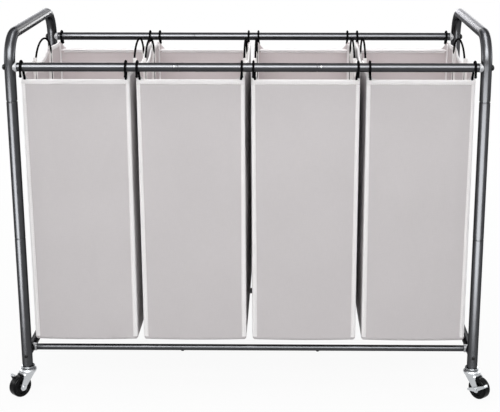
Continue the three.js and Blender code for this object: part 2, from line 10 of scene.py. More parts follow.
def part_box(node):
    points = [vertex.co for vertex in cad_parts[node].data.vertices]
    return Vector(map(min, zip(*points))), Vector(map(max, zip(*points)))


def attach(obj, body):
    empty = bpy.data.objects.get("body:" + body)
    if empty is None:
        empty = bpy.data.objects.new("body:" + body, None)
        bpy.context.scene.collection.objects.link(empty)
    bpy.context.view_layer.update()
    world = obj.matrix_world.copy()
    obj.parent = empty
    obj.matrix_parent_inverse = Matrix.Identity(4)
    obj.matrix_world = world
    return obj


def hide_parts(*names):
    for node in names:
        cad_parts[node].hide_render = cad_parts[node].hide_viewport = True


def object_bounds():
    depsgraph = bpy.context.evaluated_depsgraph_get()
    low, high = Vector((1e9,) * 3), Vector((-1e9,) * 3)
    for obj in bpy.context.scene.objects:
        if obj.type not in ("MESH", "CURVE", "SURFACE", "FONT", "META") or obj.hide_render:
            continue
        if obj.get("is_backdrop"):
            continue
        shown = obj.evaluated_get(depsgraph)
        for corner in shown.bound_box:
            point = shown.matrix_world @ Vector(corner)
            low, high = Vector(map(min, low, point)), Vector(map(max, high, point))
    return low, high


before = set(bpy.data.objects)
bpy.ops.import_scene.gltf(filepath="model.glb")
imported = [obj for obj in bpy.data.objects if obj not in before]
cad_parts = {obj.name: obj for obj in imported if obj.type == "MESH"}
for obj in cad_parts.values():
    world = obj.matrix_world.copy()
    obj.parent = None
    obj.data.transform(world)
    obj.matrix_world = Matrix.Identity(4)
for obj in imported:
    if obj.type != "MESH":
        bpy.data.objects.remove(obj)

cad_low, cad_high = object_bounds()
MM = 0.001

SIDES = {"left": -1, "right": 1}
ENDS = {"front": -1, "back": 1}
CORNERS = [(f"{end}_{side}", side, x, y) for end, y in ENDS.items() for side, x in SIDES.items()]


# Places and sizes of the CAD model

def low_high(node):
    """The two corners of a CAD node's box."""
    low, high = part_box(node)
    return low / MM, high / MM


def middle(node):
    low, high = low_high(node)
    return (low + high) / 2


HALF_CLEARANCE = 0.15  # from the end of a CAD tube to the middle of its seam
TUBE_WALL = 1.0
LEG_RADIUS = 10.0
RAIL_RADIUS = 8.0  # of the top rails and the side rails
LONG_RADIUS = 6.0  # of the bottom rails
LEG_X = middle("lower_leg_front_right").x
LEG_Y = -middle("lower_leg_front_right").y
FOOT_Z = low_high("lower_leg_front_right")[0].z
LOWER_SEAM = low_high("lower_leg_front_right")[1].z + HALF_CLEARANCE
UPPER_SEAM = low_high("upper_leg_front_right")[1].z + HALF_CLEARANCE
RAIL_Z = middle("top_rail_front_middle").z
RAIL_SEAM = low_high("top_rail_front_right")[0].x - HALF_CLEARANCE
SIDE_RAIL_Z = middle("side_rail_left").z
LONG_Y = middle("bottom_rail_back").y
HANDLE_Z = RAIL_Z + 55.0
BEND_RADIUS = 52.0
BAG_LOW, BAG_HIGH = low_high("bag_1")
BAG_HALF_X = (BAG_HIGH.x - BAG_LOW.x) / 2
BAG_SPACING = middle("bag_2").x - middle("bag_1").x
BAG_Z, RIM_Z = BAG_LOW.z, BAG_HIGH.z
BAG_TALL = RIM_Z - BAG_Z
HEM_RADIUS = 3.4
HEM_Y = BAG_HIGH.y - HEM_RADIUS
HEM_Z = RIM_Z - HEM_RADIUS
BAG_HALF_Y = HEM_Y + 1.0
WIRE_RADIUS = 2.1
TIP_RADIUS = 2.6  # of the ball on the end of a hem wire
GRIP_RADIUS = 1.9
GRIP_OFFSET = middle("bag_1_handle_right").x - middle("bag_1").x
GRIP_HALF_SPAN = 145 / 2  # from the middle of a carrying handle to either leg


# Meshes, passed round as a pair of vertices and faces

def eased(t):
    return t * t * (3 - 2 * t)


def limited(value, low=0.0, high=1.0):
    return min(max(value, low), high)


def shift(x=0.0, y=0.0, z=0.0):
    return Matrix.Translation((x, y, z))


def half_turn(sign):
    """Nothing for +1 and half a turn about Z for -1."""
    return Matrix.Rotation(0 if sign > 0 else math.pi, 4, "Z")


ALONG_X = Matrix.Rotation(math.pi / 2, 4, "Y")
ALONG_Y = Matrix.Rotation(-math.pi / 2, 4, "X")


def arc(start, end, steps):
    """Cosine and sine at even steps from one angle to another, in degrees."""
    angles = [math.radians(start + (end - start) * k / steps) for k in range(steps + 1)]
    return [(math.cos(angle), math.sin(angle)) for angle in angles]


def circle(sides):
    return arc(0, 360, sides)[:-1]


def wave(x, y, z):
    """Smooth noise round 0."""
    return noise.noise(Vector((x, y, z)))


def fillet(points, size, steps=3, closed=False):
    """The points of a line with each inner corner rounded off."""
    points = [Vector(p) for p in points]
    out = []
    count = len(points)
    for i, here in enumerate(points):
        back, on = points[i - 1] - here, points[(i + 1) % count] - here
        if (not closed and i in (0, count - 1)) or min(back.length, on.length) < 1e-6:
            out.append(here)
            continue
        reach = min(size, 0.45 * back.length, 0.45 * on.length)
        start, end = here + back.normalized() * reach, here + on.normalized() * reach
        for k in range(steps + 1):
            t = k / steps
            out.append(start.lerp(here, t).lerp(here.lerp(end, t), t))
    return out


def bridge(a, b):
    """Faces between two closed rings of vertices."""
    faces = []
    for i in range(len(a)):
        j = (i + 1) % len(a)
        face = list(dict.fromkeys([a[i], a[j], b[j], b[i]]))
        if len(face) > 2:
            faces.append(face)
    return faces


def numbered(verts, points):
    """Adds points to verts and returns their numbers there."""
    verts += points
    return list(range(len(verts) - len(points), len(verts)))


def bridged(rings):
    """Faces along a row of rings."""
    return [face for a, b in zip(rings, rings[1:]) for face in bridge(a, b)]


def turned(profile, sides, place=Matrix()):
    """A profile of (radius, height) turned about Z: closed, or with both ends on the axis."""
    verts, rings = [], []
    for radius, height in profile:
        if radius < 1e-6:
            rings.append(numbered(verts, [place @ Vector((0, 0, height))]) * sides)
        else:
            around = [place @ Vector((radius * c, radius * s, height)) for c, s in circle(sides)]
            rings.append(numbered(verts, around))
    on_axis = profile[0][0] < 1e-6 and profile[-1][0] < 1e-6
    return verts, bridged(rings if on_axis else rings + rings[:1])


def tube(radius, low, high, lip, sides=32, place=Matrix()):
    """An open tube along Z. Its ends are rounded by lip, and a ring near each keeps the long faces flat."""
    bore, support = radius - TUBE_WALL, 3 * lip
    profile = [(bore, low), (radius, low), (radius, low + support), (radius, high - support), (radius, high),
               (bore, high)]
    return turned(fillet(profile, lip, closed=True), sides, place)


def rod(radius, low, high, lip, sides, place=Matrix()):
    """A solid round bar along Z."""
    return turned(fillet([(0, low), (radius, low), (radius, high), (0, high)], lip), sides, place)


def swept(points, radius, sides, lip):
    """A round bar along a line of points; lip is the rounding of its ends."""
    support, clear, probe = 1.0, 1.4, 0.05
    points = [Vector(p) for p in points]
    distance = [0.0]
    for a, b in zip(points, points[1:]):
        distance.append(distance[-1] + (b - a).length)
    total = distance[-1]

    def at(s):
        i = next((i for i in range(len(points) - 2) if s <= distance[i + 1]), len(points) - 2)
        return points[i].lerp(points[i + 1], (s - distance[i]) / (distance[i + 1] - distance[i]))

    head = [(lip * (1 - c), radius - lip + lip * s) for c, s in arc(0, 90, 4)] + [(lip + support, radius)]
    stations = head + [(s, radius) for s in distance if lip + clear < s < total - lip - clear]
    stations += [(total - s, r) for s, r in reversed(head)]
    centres = [at(s) for s, _ in stations]
    verts, rings, normal = [], [], None
    for i, (s, r) in enumerate(stations):
        ahead = at(min(s + probe, total)) - at(max(s - probe, 0))
        if i and i < len(stations) - 1 and lip < s < total - lip:
            ahead = (centres[i + 1] - centres[i]).normalized() + (centres[i] - centres[i - 1]).normalized()
        tangent = ahead.normalized()
        if normal is None:
            normal = tangent.orthogonal().normalized()
        normal = (normal - tangent * normal.dot(tangent)).normalized()
        side = tangent.cross(normal)
        rings.append(numbered(verts, [centres[i] + (normal * c + side * s) * r for c, s in circle(sides)]))
    return verts, bridged(rings) + [rings[0], rings[-1]]


def loft(sections):
    """Closed sections, each a list of points, joined into one skin with flat ends."""
    size = len(sections[0])
    rings = [list(range(i * size, (i + 1) * size)) for i in range(len(sections))]
    return [p for section in sections for p in section], bridged(rings) + [rings[0][::-1], rings[-1]]


def together(*parts):
    verts, faces = [], []
    for part_verts, part_faces in parts:
        base = len(verts)
        verts += part_verts
        faces += [[i + base for i in face] for face in part_faces]
    return verts, faces


def moved(part, place):
    return [place @ v for v in part[0]], part[1]


def placed(name, data):
    """A new object in the scene."""
    obj = bpy.data.objects.new(name, data)
    bpy.context.scene.collection.objects.link(obj)
    return obj


def skinned(name, part, scale):
    """An object with its faces turned outwards."""
    verts, faces = part
    mesh = bpy.data.meshes.new(name)
    mesh.from_pydata([Vector(v) * scale for v in verts], [], faces)
    made = bmesh.new()
    made.from_mesh(mesh)
    bmesh.ops.recalc_face_normals(made, faces=made.faces)
    made.to_mesh(mesh)
    made.free()
    return placed(name, mesh)


def modified(obj, kind, **settings):
    """Changes an object's mesh for good, by a modifier."""
    modifier = obj.modifiers.new(kind, kind)
    for key, value in settings.items():
        setattr(modifier, key, value)
    graph = bpy.context.evaluated_depsgraph_get()
    mesh = bpy.data.meshes.new_from_object(obj.evaluated_get(graph))
    obj.modifiers.clear()
    obj.data = mesh
    mesh.name = obj.name


def carved(part, tool):
    """part with tool cut away."""
    body, cutting = skinned("carving", part, 1.0), skinned("carving", tool, 1.0)
    modified(body, "BOOLEAN", object=cutting, operation="DIFFERENCE", solver="EXACT")
    mesh = body.data
    result = [v.co.copy() for v in mesh.vertices], [list(p.vertices) for p in mesh.polygons]
    for obj in (body, cutting):
        bpy.data.objects.remove(obj)
    return result


def cloth_map(mesh):
    """A flat map in metres on each face, by the axis it faces most."""
    layer = mesh.uv_layers.new(name="cloth")
    for polygon in mesh.polygons:
        n = polygon.normal
        axis = max(range(3), key=lambda i: abs(n[i]))
        u, v = ((1, 2), (0, 2), (0, 1))[axis]
        for loop in polygon.loop_indices:
            co = mesh.vertices[mesh.loops[loop].vertex_index].co
            layer.data[loop].uv = (co[u], co[v])


def smooth(obj, sharp):
    obj.data.shade_smooth()
    obj.data.set_sharp_from_angle(angle=math.radians(sharp))


def build(name, part, finish, body, replaces=(), sharp=38, uv=False, bevel=0):
    """Makes a piece; sharp is the angle of its hard edges and bevel the width that rounds them."""
    obj = skinned(name, part, MM)
    if bevel:
        hard_edge = math.radians(40)
        modified(obj, "BEVEL", width=bevel * MM, segments=3, limit_method="ANGLE", angle_limit=hard_edge)
    if uv:
        cloth_map(obj.data)
    obj.data.materials.append(finish.material)
    smooth(obj, sharp)
    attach(obj, body)
    if replaces:
        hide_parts(*replaces)
    return obj


# Materials

Finish = namedtuple("Finish", "material slot")


def add(tree, kind, inputs=None, **settings):
    """A node; inputs are links where they are sockets and values where they are not."""
    node = tree.nodes.new("ShaderNode" + kind)
    for key, value in settings.items():
        setattr(node, key, value)
    for key, value in (inputs or {}).items():
        if isinstance(value, bpy.types.NodeSocket):
            tree.links.new(value, node.inputs[key])
        else:
            node.inputs[key].default_value = value
    return node


def maths(tree, operation, *values):
    return add(tree, "Math", dict(enumerate(values)), operation=operation).outputs[0]


def mixed(tree, factor, a, b):
    return add(tree, "Mix", {0: factor, 6: a, 7: b}, data_type="RGBA").outputs[2]


def split(tree, vector):
    return add(tree, "SeparateXYZ", {0: vector}).outputs


def spread(tree, value, low, high, to_low, to_high):
    """value taken from one range to another."""
    inputs = {"Value": value, 1: low, 2: high, 3: to_low, 4: to_high}
    return add(tree, "MapRange", inputs).outputs[0]


def swing(tree, value, to_low, to_high):
    """Noise, which mostly lies between 0.3 and 0.7, taken to another range."""
    return spread(tree, value, 0.3, 0.7, to_low, to_high)


def grain(tree, coordinates, scale, detail, stretch=(1, 1, 1)):
    """Noise with a grain of 1 / scale metres."""
    vector = add(tree, "Mapping", {"Vector": coordinates, "Scale": stretch}).outputs[0]
    return add(tree, "TexNoise", {"Vector": vector, "Scale": scale, "Detail": detail}).outputs[0]


def tone(colour, factor=1.0):
    return (*[c * factor for c in colour], 1)


def tinted(tree, factor, colour):
    """A colour that drifts from a little darker to a little lighter."""
    return mixed(tree, factor, tone(colour, 0.94), tone(colour, 1.06))


def started(name, metallic, sockets):
    """A new material, its nodes, its shader's inputs and its coordinates."""
    material = bpy.data.materials.new(name)
    material.use_nodes = True
    tree = material.node_tree
    shader = next(n for n in tree.nodes if n.type == "BSDF_PRINCIPLED").inputs
    shader["Metallic"].default_value = metallic
    for key, value in sockets.items():
        shader[key.replace("_", " ")].default_value = value
    return material, tree, shader, add(tree, "TexCoord").outputs


def surface(tree, shader, colour, gloss, height, strength, distance):
    """Links colour, roughness and bump to the shader."""
    bump = add(tree, "Bump", {"Height": height, "Strength": strength, "Distance": distance})
    for key, value in (("Base Color", colour), ("Roughness", gloss), ("Normal", bump.outputs[0])):
        tree.links.new(value, shader[key])


def metal(name, slot, colour, scratch, rough, orange_peel, **sockets):
    """Enamelled or plated metal: mottled tone and gloss, fine scratches and a slight orange peel."""
    material, tree, shader, coordinates = started(name, 1.0, sockets)
    place = coordinates["Object"]
    mottle = grain(tree, place, 45, 4)
    fine = grain(tree, place, 900, 2)
    scratches = grain(tree, place, 260, 6, (1, 1, 0.12))
    worn = spread(tree, scratches, 0.70, 0.78, 0, 0.2)
    tint = mixed(tree, worn, tinted(tree, swing(tree, mottle, 0, 1), colour), tone(scratch))
    gloss = maths(tree, "ADD", swing(tree, mottle, *rough), swing(tree, fine, -0.012, 0.012))
    surface(tree, shader, tint, gloss, fine, orange_peel, 0.00003)
    return Finish(material, slot)


def moulded(name, slot, colour, dust, rough, texture_scale, **sockets):
    """Moulded rubber or plastic: fine mould texture and a little dust."""
    material, tree, shader, coordinates = started(name, 0.0, sockets)
    place = coordinates["Object"]
    patches = grain(tree, place, 70, 5)
    settled = spread(tree, patches, 0.48, 0.75, 0, 0.5)
    tint = mixed(tree, settled, tone(colour), tone(dust))
    texture = grain(tree, place, texture_scale, 3)
    surface(tree, shader, tint, swing(tree, patches, *rough), texture, 0.35, 0.00012)
    return Finish(material, slot)


def inside_bag(tree, coordinates):
    """1 on faces that look towards the middle of the bag they belong to, 0 on the others."""
    place, facing = split(tree, coordinates["Object"]), split(tree, coordinates["Normal"])
    spacing = BAG_SPACING * MM
    across = maths(tree, "WRAP", place[0], spacing, 0.0)
    across = maths(tree, "MULTIPLY", maths(tree, "SUBTRACT", across, spacing / 2), facing[0])
    outward = maths(tree, "ADD", across, maths(tree, "MULTIPLY", place[1], facing[1]))
    return maths(tree, "LESS_THAN", outward, 0.0)


def woven(name, colour, pitch, painted_bounce=None, ribbed=True, **sockets):
    """Cloth on a map in metres: crossing threads, uneven yarn, a soft drift of shade, and inside the bags a
    pinker, slightly darker copy of the colour, painted for the warm light bounced there."""
    material, tree, shader, coordinates = started(name, 0.0, sockets)
    flat = coordinates["UV"]
    apart = split(tree, flat)
    turn = 2 * math.pi / pitch
    warp = maths(tree, "SINE", maths(tree, "MULTIPLY", apart[0], turn))
    weft = maths(tree, "SINE", maths(tree, "MULTIPLY", apart[1], turn * (0.5 if ribbed else 1)))
    threads = maths(tree, "MULTIPLY", warp, weft)
    yarn = maths(tree, "ADD", grain(tree, flat, 60, 3, (22, 1, 1)), grain(tree, flat, 60, 3, (1, 22, 1)))
    drift = grain(tree, coordinates["Object"], 7, 3)
    level = maths(tree, "MULTIPLY", threads, 0.35)
    level = maths(tree, "ADD", spread(tree, yarn, 0.7, 1.3, -0.5, 0.5), level)
    level = maths(tree, "ADD", level, swing(tree, drift, -0.35, 0.35))
    factor = spread(tree, level, -1.2, 1.2, 0, 1)
    shade = tinted(tree, factor, colour)
    if painted_bounce:
        # Faces inside the bags take the second colour: a painted warm cast of the light bounced inside them,
        # a little darker too.
        shade = mixed(tree, inside_bag(tree, coordinates), shade, tinted(tree, factor, painted_bounce))
    gloss = spread(tree, yarn, 0.7, 1.3, 0.82, 0.98)
    height = maths(tree, "ADD", threads, maths(tree, "MULTIPLY", yarn, 0.8))
    surface(tree, shader, shade, gloss, height, 0.4, pitch * 0.12)
    return Finish(material, "canvas")


GUNMETAL = metal("gunmetal", "frame_metal", (0.044, 0.045, 0.048), (0.08, 0.08, 0.088), (0.28, 0.34), 0.03,
                 Specular_Tint=(0.2, 0.2, 0.22, 1), Coat_Weight=0.15, Coat_Roughness=0.24)
ZINC = metal("zinc", "zinc", (0.50, 0.515, 0.53), (0.42, 0.43, 0.45), (0.20, 0.38), 0.12)
# A darker copy of the zinc for the caster stems: painted dark reflections on the sides of their rings.
ZINC_PAINTED_DARK = metal("zinc_painted_dark", "zinc", (0.32, 0.33, 0.34), (0.36, 0.37, 0.38), (0.16, 0.26), 0.06)
BLACK_COAT = moulded("black_coat", "wire", (0.006, 0.006, 0.0065), (0.015, 0.015, 0.015), (0.26, 0.38), 2200,
                     Specular_IOR_Level=0.2)
BLACK_WIRE = moulded("black_wire", "wire", (0.005, 0.005, 0.0055), (0.014, 0.014, 0.014), (0.45, 0.6), 1800,
                     Specular_IOR_Level=0.0)
BLACK_GRIP = Finish(BLACK_WIRE.material, "grip")
RUBBER = moulded("rubber", "wheel", (0.003, 0.003, 0.0033), (0.007, 0.0069, 0.0067), (0.22, 0.34), 1500,
                 Specular_IOR_Level=0.07)
PLASTIC = moulded("grey_plastic", "saddle", (0.50, 0.51, 0.53), (0.42, 0.42, 0.43), (0.35, 0.5), 2600)
# The second colour is a painted warm cast of the light bounced inside the bags.
CANVAS = woven("canvas", (0.600, 0.572, 0.579), 0.0011, (0.618, 0.560, 0.565), ribbed=False,
               Sheen_Weight=0.12, Specular_IOR_Level=0.2)
TAPE = woven("binding_tape", (0.885, 0.865, 0.868), 0.0009, Sheen_Weight=0.1, Specular_IOR_Level=0.25)
WEBBING = woven("webbing", (0.85, 0.83, 0.82), 0.0016, Sheen_Weight=0.1, Specular_IOR_Level=0.25)
THREAD = woven("thread", (0.66, 0.64, 0.63), 0.0004, Specular_IOR_Level=0.3)


# Frame

HALF_GAP = 0.9  # half the width of a leg's seam, as it shows
PLUG_STEP = 1.3  # how much thinner a plug is than its tube
PLUG_LENGTH = 35.0
PLUG_GRIP = 2.0  # how far a plug reaches back into its own tube
SEAT_GAP = 0.3
SADDLE_RADIUS, LOW_SADDLE_RADIUS = 8.6, 7.6
SADDLE_NEAR, SADDLE_FAR = LEG_X - LEG_RADIUS - 2.5, LEG_X - 3.2  # the tube in its seat cuts the far end
LOW_SADDLE_NEAR, LOW_SADDLE_FAR = LEG_X - RAIL_RADIUS - 3, LEG_X - RAIL_RADIUS + 4.5
BUTTON_X = RAIL_SEAM + 7
BUTTON_TILT = math.radians(70)  # from straight up towards the outside
LOW_BUTTON_SCALE = 1.5
CAP_BOLT = fillet(((0, 0), (5.4, 0), (5.6, 1.2), (4.6, 3.4), (2.6, 4.6), (0, 5.0)), 1.0)
BUTTON = fillet(((0, -1), (2.3, -1), (2.3, 0.1), (1.8, 0.8), (0.8, 1.2), (0, 1.25)), 0.5)
SCREW_HEAD = fillet(((0, -0.6), (3.6, -0.6), (3.6, 0.6), (2.8, 1.6), (0, 2.0)), 0.6)


def bent(corners, radius, steps):
    """Corners joined by straight stretches and true arcs."""
    corners = [Vector(c) for c in corners]
    out = [corners[0]]
    for before, here, after in zip(corners, corners[1:], corners[2:]):
        into, away = (here - before).normalized(), (after - here).normalized()
        turn = into.angle(away)
        start = here - into * radius * math.tan(turn / 2)
        inward = (away - into * away.dot(into)).normalized()
        out += [start + (into * s + inward * (1 - c)) * radius for c, s in arc(0, math.degrees(turn), steps)]
    return out + [corners[-1]]


def divided(points, step):
    """The same line with no stretch longer than step."""
    out = [points[0]]
    for a, b in zip(points, points[1:]):
        count = max(1, math.ceil((b - a).length / step))
        out += [a.lerp(b, k / count) for k in range(1, count + 1)]
    return out


def leg_plug(seam, place=Matrix()):
    return tube(LEG_RADIUS - PLUG_STEP, seam - PLUG_LENGTH, seam + PLUG_GRIP, 0.4, place=place)


def cutter(radius, sides, place):
    """What a tube takes out of the piece that seats on it."""
    return rod(radius + SEAT_GAP, -20, 20, 0.1, sides, place)


def saddle(radius, near, far, seat):
    return carved(rod(radius, near, far, 0.8, 40, ALONG_X), seat)


def slotted_screw():
    screw = turned(SCREW_HEAD, 28)
    for turn in (ALONG_X, ALONG_Y):
        screw = carved(screw, rod(0.55, -3, 3, 0.05, 8, shift(z=2.1) @ turn))
    return screw


def on_frame(name, part, finish, replaces=(), sharp=38):
    return build(f"frame_{name}", part, finish, "frame", replaces, sharp)


def frame_tube(node, part, sharp=38):
    """A tube in place of the CAD node that it is named after."""
    return on_frame(node, part, GUNMETAL, [node], sharp)


uprights = {"left": [], "right": []}
rails, low_rails = [], []
for side, x in SIDES.items():
    foot = UPPER_SEAM + HALF_GAP
    line = [(0, -LEG_Y, foot), (0, -LEG_Y, HANDLE_Z), (0, LEG_Y, HANDLE_Z), (0, LEG_Y, foot)]
    hoop = swept(divided(bent(line, BEND_RADIUS, 24), 40), LEG_RADIUS, 64, 1.0)
    plugs = [leg_plug(UPPER_SEAM, shift(y=y * LEG_Y)) for y in ENDS.values()]
    handle = moved(together(hoop, *plugs), shift(x * LEG_X))
    uprights[side].append(frame_tube(f"push_handle_{side}", handle))

    rail = tube(RAIL_RADIUS, -LEG_Y, LEG_Y, 0.3, place=ALONG_Y)
    for y in ENDS.values():
        rail = carved(rail, cutter(LEG_RADIUS, 48, shift(y=y * LEG_Y)))
    frame_tube(f"side_rail_{side}", moved(rail, shift(x * LEG_X, 0, SIDE_RAIL_Z)), 32)

screw = slotted_screw()
for corner, side, x, y in CORNERS:
    at_leg = shift(x * LEG_X, y * LEG_Y)
    upper = tube(LEG_RADIUS, LOWER_SEAM + HALF_GAP, UPPER_SEAM - HALF_GAP, 1.0)
    lower = tube(LEG_RADIUS, FOOT_Z, LOWER_SEAM - HALF_GAP, 1.0)
    upper = together(upper, leg_plug(LOWER_SEAM))
    for node, part in (("upper_leg", upper), ("lower_leg", lower)):
        uprights[side].append(frame_tube(f"{node}_{corner}", moved(part, at_leg)))

    at_rail = shift(0, y * LEG_Y, RAIL_Z) @ half_turn(x)
    seat = saddle(SADDLE_RADIUS, SADDLE_NEAR, SADDLE_FAR, cutter(LEG_RADIUS, 64, shift(LEG_X)))
    on_frame(f"saddle_{corner}", moved(seat, at_rail), PLASTIC, [f"rail_saddle_{corner}"], 32)
    near, far = RAIL_SEAM + HALF_CLEARANCE, SADDLE_NEAR - 2 * HALF_CLEARANCE
    rails.append(frame_tube(f"top_rail_{corner}", tube(RAIL_RADIUS, near, far, 0.7, place=at_rail @ ALONG_X)))

    place = at_rail @ shift(LEG_X + LEG_RADIUS - 0.8) @ ALONG_X
    on_frame(f"cap_bolt_{corner}", turned(CAP_BOLT, 28, place), BLACK_COAT)
    place = shift(x * BUTTON_X, y * LEG_Y, RAIL_Z) @ Matrix.Rotation(-y * BUTTON_TILT, 4, "X")
    on_frame(f"snap_button_{corner}", turned(BUTTON, 24, place @ shift(z=RAIL_RADIUS)), ZINC)
    place = at_leg @ shift(0, y * (LEG_RADIUS - 0.2), SIDE_RAIL_Z) @ Matrix.Rotation(-y * math.pi / 2, 4, "X")
    on_frame(f"rail_screw_{corner}", moved(screw, place), BLACK_COAT, (), 30)

for end, y in ENDS.items():
    parts = [tube(RAIL_RADIUS, HALF_CLEARANCE - RAIL_SEAM, RAIL_SEAM - HALF_CLEARANCE, 0.7, place=ALONG_X)]
    for x in SIDES.values():
        low, high = sorted((x * (RAIL_SEAM - PLUG_GRIP), x * (RAIL_SEAM + PLUG_LENGTH)))
        parts.append(tube(RAIL_RADIUS - PLUG_STEP, low, high, 0.4, place=ALONG_X))
    middle_rail = moved(together(*parts), shift(0, y * LEG_Y, RAIL_Z))
    rails.append(frame_tube(f"top_rail_{end}_middle", middle_rail))

    at_long = shift(0, y * LONG_Y, SIDE_RAIL_Z)
    reach = LOW_SADDLE_NEAR + 1
    long_rail = tube(LONG_RADIUS, -reach, reach, 0.5, 28, at_long @ ALONG_X)
    low_rails.append(frame_tube(f"bottom_rail_{end}", long_rail))
    for side, x in SIDES.items():
        under = at_long @ shift(x * BUTTON_X) @ ALONG_X @ ALONG_X @ shift(z=LONG_RADIUS)
        button = turned(BUTTON, 24, under @ Matrix.Scale(LOW_BUTTON_SCALE, 4))
        on_frame(f"low_button_{end}_{side}", button, GUNMETAL)
        rail = cutter(RAIL_RADIUS, 64, shift(LEG_X) @ ALONG_Y)
        seat = saddle(LOW_SADDLE_RADIUS, LOW_SADDLE_NEAR, LOW_SADDLE_FAR, rail)
        on_frame(f"bottom_saddle_{end}_{side}", moved(seat, at_long @ half_turn(x)), PLASTIC, (), 32)


# Casters, worked out with the swivel axis on Z and the wheel trailing towards +X

TRAIL = 20.0
SPLAY = math.radians(40)
AXLE_Z = middle("caster_wheel_front_left").z
CROWN_TOP = low_high("caster_fork_front_left")[1].z
CROWN_RADIUS = 16.3
CHEEK_TOP_Z = CROWN_TOP - 2.8
CHEEK_TOP_HALF = 14.2  # half the width of a cheek where it leaves the crown
CHEEK_END_RADIUS = 7.0
CHEEK_OUT = 11.3
CHEEK_SHEET = 1.8
AT_AXLE = shift(TRAIL, 0, AXLE_Z) @ ALONG_Y


def wheel():
    """Tread, walls and hub; AXLE_Z is its radius too, as it stands on the floor."""
    half = [(2.3, 9.2), (5.5, 9.2), (6.3, 6.6), (12.6, 6.2), (13.8, 8.4), (18.4, 8.75), (20.3, 7.4),
            (AXLE_Z, 5.4), (AXLE_Z, 0)]
    mirrored = [(radius, -height) for radius, height in reversed(half[:-1])]
    return turned(fillet(half + mirrored, 1.1, 4, closed=True), 64, AT_AXLE)


def crown():
    """The pressed cup over the wheel, with a raised ball race; its profile gives depths below the top."""
    depths = ((3.8, 2.2), (3.8, 0.2), (8.5, 0.2), (9.6, 1.0), (11.0, 1.0), (12.2, 0.3), (14.0, 0.5),
              (15.4, 1.8), (16.5, 3.0), (16.5, 5.6), (15.0, 5.6), (15.0, 3.6), (13.6, 2.4))
    return turned(fillet([(radius, CROWN_TOP - depth) for radius, depth in depths], 0.7, closed=True), 48)


def cheek(side):
    """One leg of the fork, pressed down from the crown's rim and drawn in to a round end at the axle."""
    levels = 15
    across = [-1 + 2 * j / 10 for j in range(11)]
    rows = []
    for k in range(levels):
        t = k / (levels - 1)
        z = CHEEK_TOP_Z + (AXLE_Z - CHEEK_TOP_Z) * t
        half = CHEEK_TOP_HALF + (CHEEK_END_RADIUS - CHEEK_TOP_HALF) * (t ** 0.85)
        flat = eased(min(1.0, t / 0.3))
        row = []
        for u in across:
            x = TRAIL * t + half * u
            y = CHEEK_OUT
            if t < 0.31:
                y = math.sqrt(max(CROWN_RADIUS ** 2 - min(abs(x), CROWN_RADIUS - 0.1) ** 2, 0))
            row.append(Vector((x, max(y * (1 - flat) + CHEEK_OUT * flat, CHEEK_OUT * 0.55), z)))
        rows.append(row)
    for c, s in arc(0, 90 * 0.97, 6)[1:]:
        z = AXLE_Z - CHEEK_END_RADIUS * s
        rows.append([Vector((TRAIL + CHEEK_END_RADIUS * c * u, CHEEK_OUT, z)) for u in across])
    sections = []
    for row in rows:
        outer = [Vector((p.x, side * p.y, p.z)) for p in row]
        inner = [Vector((p.x, side * (p.y - CHEEK_SHEET), p.z)) for p in reversed(row)]
        sections.append(outer + inner)
    return loft(sections)


def axle(has_brake):
    """A riveted axle, longer where it also holds the brake lever."""
    end = CHEEK_OUT + (2.1 if has_brake else 0)
    head = fillet(((0, 0), (4.0, 0), (4.0, 0.6), (3.0, 1.2), (1.3, 1.2), (0.9, 0.7), (0, 0.7)), 0.35)
    parts = [rod(2.0, -end - 1.0, CHEEK_OUT + 1.0, 0.3, 20)]
    for seat, out in ((CHEEK_OUT, 1), (-end, -1)):
        parts.append(turned([(radius, seat + out * height) for radius, height in head], 28))
    return moved(together(*parts), AT_AXLE)


def stem():
    """Plug, two raceway rings with a groove between them, kingpin and its riveted head."""
    low = CROWN_TOP + 0.3
    top = FOOT_Z - 0.3
    profile = ((0, CROWN_TOP - 3.7), (4.6, CROWN_TOP - 3.4), (6.0, CROWN_TOP - 2.9), (5.6, CROWN_TOP - 2.4),
               (3.5, CROWN_TOP - 2.3), (3.5, low), (10.6, low), (13.0, low + 0.3), (13.2, low + 1.5),
               (11.4, low + 1.8), (11.4, low + 2.3), (13.4, low + 2.6), (13.4, top - 0.5), (12.6, top),
               (8.7, top), (8.7, top + 21), (7.7, top + 22), (0, top + 22))
    return turned(fillet(profile, 0.4), 48)


def refined(node):
    """A CAD node's mesh with its flat areas merged, for a piece whose shape is right."""
    made = bmesh.new()
    made.from_mesh(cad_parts[node].data)
    bmesh.ops.remove_doubles(made, verts=made.verts, dist=1e-6)
    bmesh.ops.dissolve_limit(made, angle_limit=math.radians(2), verts=made.verts, edges=made.edges)
    made.verts.index_update()
    part = [v.co / MM for v in made.verts], [[v.index for v in f.verts] for f in made.faces]
    made.free()
    return part


for corner, side, x, y in CORNERS:
    has_brake = y < 0
    heading = math.atan2(y * math.cos(SPLAY), x * math.sin(SPLAY))
    at_leg = shift(x * LEG_X, y * LEG_Y)
    place = at_leg @ Matrix.Rotation(heading, 4, "Z")
    name = f"caster_{corner}"
    fork = together(crown(), cheek(1), cheek(-1), axle(has_brake))
    build(f"{name}_wheel", moved(wheel(), place), RUBBER, f"wheel_{corner}", [f"caster_wheel_{corner}"], 30)
    build(f"{name}_fork", moved(fork, place), ZINC, name, [f"caster_fork_{corner}"], 42)
    build(f"{name}_stem", moved(stem(), at_leg), ZINC_PAINTED_DARK, "frame", [f"caster_stem_{corner}"], 40)
    if has_brake:
        node = f"brake_lever_{corner}"
        build(f"{name}_brake", refined(node), ZINC, f"brake_{corner}", [node], 35, bevel=0.28)


# Bags

